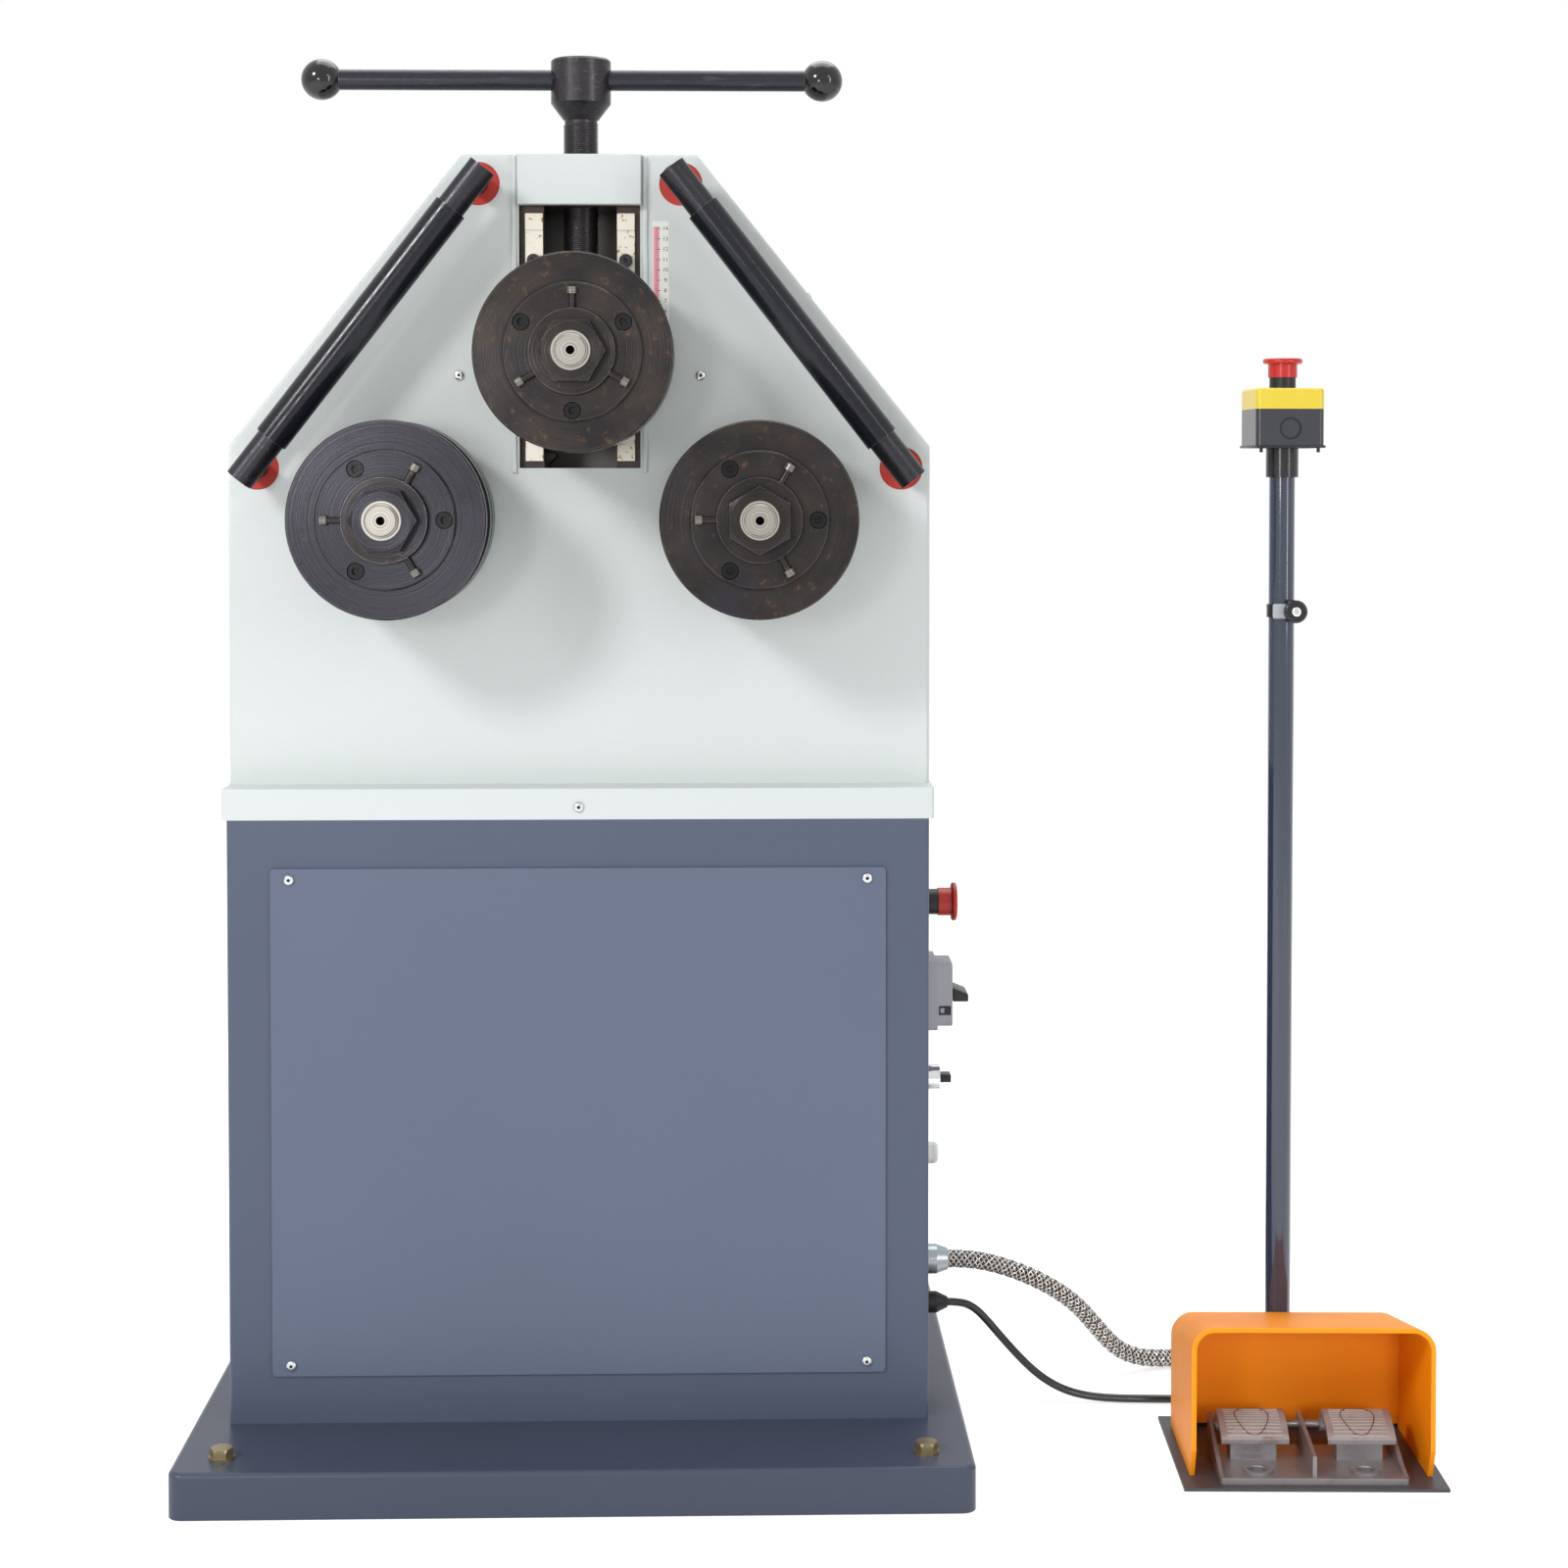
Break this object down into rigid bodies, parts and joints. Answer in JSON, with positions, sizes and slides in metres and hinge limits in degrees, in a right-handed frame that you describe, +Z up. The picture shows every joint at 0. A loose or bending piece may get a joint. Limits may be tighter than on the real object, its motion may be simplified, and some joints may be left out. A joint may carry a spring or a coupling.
{
  "type": "ring roller",
  "caption": "Floor-standing powered ring roller with three grooved rollers, a tommy-bar adjusting screw, side guide bars and a guarded foot-pedal station.",
  "frame": {"origin": "centre of the base on the floor, on the underside of the middle stiffener", "axes": "+X to the machine's right as seen from its rollers, +Y to the rear, +Z up"},
  "size_m": [1.2005, 0.802, 1.362],
  "materials": {
    "base_paint": "blue-grey gloss powder coat",
    "yellow_zinc": "yellow zinc plated",
    "cabinet_paint": "blue-grey textured powder coat",
    "panel_paint": "blue-grey leather-texture powder coat",
    "zinc": "bright zinc",
    "head_paint": "pale grey orange-peel paint",
    "flange_paint": "pale grey orange-peel paint",
    "inner_steel": "oiled steel plate",
    "worn_steel": "ground steel, worn, with brown traces",
    "black_oxide": "black oxide",
    "red_plastic": "red washers",
    "sleeve_black": "satin black",
    "bronze": "bearing bronze",
    "motor_paint": "painted cast iron",
    "gear_steel": "oiled gear steel",
    "hub_steel": "black oxide with bright thread",
    "knob_black": "gloss black phenolic",
    "black_plastic": "black plastic",
    "red_button": "red plastic",
    "switch_grey": "grey plastic",
    "bezel_chrome": "chrome plated",
    "lamp_lens": "pale translucent lens",
    "hose_braid": "stainless steel wire braid",
    "cable_black": "black rubber",
    "station_steel": "grey paint",
    "guard_orange": "orange powder coat",
    "pedal_cast": "grey hammered cast aluminium",
    "pole_paint": "blue-grey gloss paint",
    "yellow_plastic": "yellow plastic",
    "roller_steel": "brown-black oxide on turned steel",
    "bright_steel": "ground steel"
  },
  "bodies": {
    "frame": {"base_pan": "base_paint", "anchor_bolts": "yellow_zinc", "cabinet_shell": "cabinet_paint", "front_panel": "panel_paint", "rear_panel": "panel_paint", "cover_screws": "zinc", "head_front_plate": "head_paint", "head_flange": "flange_paint", "head_back_plate": "inner_steel", "head_skin": "head_paint", "screw_yoke": "head_paint", "gib_strips": "worn_steel", "gib_screws": "black_oxide", "guide_rods": "black_oxide", "post_discs": "red_plastic", "shaft_bearings": "bronze", "motor": "motor_paint", "gearbox": "motor_paint", "estop_necks": "black_plastic", "main_switch_body": "switch_grey", "selector_bezel": "bezel_chrome", "signal_lamp": "lamp_lens", "hose_glands": "zinc", "cable_glands": "black_plastic", "control_hose": "hose_braid", "control_cable": "cable_black", "station_plate": "station_steel", "foot_guard": "guard_orange", "pedal_base": "pedal_cast", "pole": "pole_paint", "estop_box": "black_plastic", "estop_box_cover": "yellow_plastic", "pole_knob": "knob_black"},
    "left_bar_sleeve": {"left_sleeve": "sleeve_black"},
    "right_bar_sleeve": {"right_sleeve": "sleeve_black"},
    "left_spindle": {"left_shaft": "bright_steel", "left_roller": "roller_steel", "left_collar": "roller_steel", "left_nut": "roller_steel", "left_gear": "gear_steel"},
    "right_spindle": {"right_shaft": "bright_steel", "right_roller": "roller_steel", "right_collar": "roller_steel", "right_nut": "roller_steel", "right_gear": "gear_steel"},
    "pinion": {"drive_pinion": "gear_steel"},
    "top_slide": {"slide_block": "black_oxide"},
    "top_spindle": {"top_shaft": "bright_steel", "top_roller": "roller_steel", "top_collar": "roller_steel", "top_nut": "roller_steel"},
    "screw": {"lead_screw": "hub_steel"},
    "tommy_bar": {"handle_bar": "black_oxide", "handle_knobs": "knob_black"},
    "side_estop": {"side_estop_button": "red_button"},
    "main_switch": {"main_switch_knob": "black_plastic"},
    "selector": {"selector_knob": "black_plastic"},
    "pole_estop": {"pole_estop_button": "red_button"},
    "left_treadle": {"left_pedal": "pedal_cast"},
    "right_treadle": {"right_pedal": "pedal_cast"}
  },
  "joints": [
    {"name": "left_roller_turn", "type": "hinge", "parent": "frame", "child": "left_spindle", "pos_m": [-0.172, -0.3, 0.915], "axis": [0, 1, 0], "continuous": true},
    {"name": "right_roller_turn", "type": "hinge", "parent": "frame", "child": "right_spindle", "pos_m": [0.172, -0.3, 0.915], "axis": [0, 1, 0], "continuous": true},
    {"name": "pinion_turn", "type": "hinge", "parent": "frame", "child": "pinion", "pos_m": [0, -0.12, 0.81293], "axis": [0, 1, 0], "continuous": true},
    {"name": "screw_turn", "type": "hinge", "parent": "top_slide", "child": "screw", "pos_m": [0, -0.201, 1.25], "axis": [0, 0, 1], "range_deg": [-3240, 7740]},
    {"name": "top_adjust", "type": "slide", "parent": "frame", "child": "top_slide", "axis": [0, 0, 1], "range_m": [-0.0361, 0.0861]},
    {"name": "top_roller_turn", "type": "hinge", "parent": "top_slide", "child": "top_spindle", "pos_m": [0, -0.3, 1.07], "axis": [0, 1, 0], "continuous": true},
    {"name": "tommy_bar_slide", "type": "slide", "parent": "screw", "child": "tommy_bar", "axis": [1, 0, 0], "range_m": [-0.186, 0.202]},
    {"name": "left_sleeve_turn", "type": "hinge", "parent": "frame", "child": "left_bar_sleeve", "pos_m": [-0.205, -0.28, 1.1005], "axis": [-0.6141, 0, -0.7892], "continuous": true},
    {"name": "right_sleeve_turn", "type": "hinge", "parent": "frame", "child": "right_bar_sleeve", "pos_m": [0.205, -0.28, 1.1005], "axis": [0.6141, 0, -0.7892], "continuous": true},
    {"name": "side_estop_press", "type": "slide", "parent": "frame", "child": "side_estop", "axis": [1, 0, 0], "range_m": [-0.006, 0], "stiffness_N_per_m": 800, "springref_m": 0.002},
    {"name": "pole_estop_press", "type": "slide", "parent": "frame", "child": "pole_estop", "axis": [0, 0, 1], "range_m": [-0.006, 0], "stiffness_N_per_m": 800, "springref_m": 0.002},
    {"name": "main_switch_turn", "type": "hinge", "parent": "frame", "child": "main_switch", "pos_m": [0.38, -0.122, 0.43], "axis": [1, 0, 0], "range_deg": [-90, 0]},
    {"name": "selector_turn", "type": "hinge", "parent": "frame", "child": "selector", "pos_m": [0.36, -0.122, 0.341], "axis": [1, 0, 0], "range_deg": [-45, 45]},
    {"name": "left_pedal_press", "type": "hinge", "parent": "frame", "child": "left_treadle", "pos_m": [0.64906, -0.26614, 0.033], "axis": [0.9994, -0.0349, 0], "range_deg": [0, 7], "stiffness_Nm_per_rad": 6, "springref_deg": -6.88},
    {"name": "right_pedal_press", "type": "hinge", "parent": "frame", "child": "right_treadle", "pos_m": [0.751, -0.2697, 0.033], "axis": [0.9994, -0.0349, 0], "range_deg": [0, 7], "stiffness_Nm_per_rad": 6, "springref_deg": -6.88}
  ],
  "couplings": [
    {"joint": "right_roller_turn", "follows": "left_roller_turn", "ratio": 1},
    {"joint": "pinion_turn", "follows": "left_roller_turn", "ratio": -3},
    {"joint": "top_adjust", "follows": "screw_turn", "m_per_rad": 0.00063662}
  ]
}
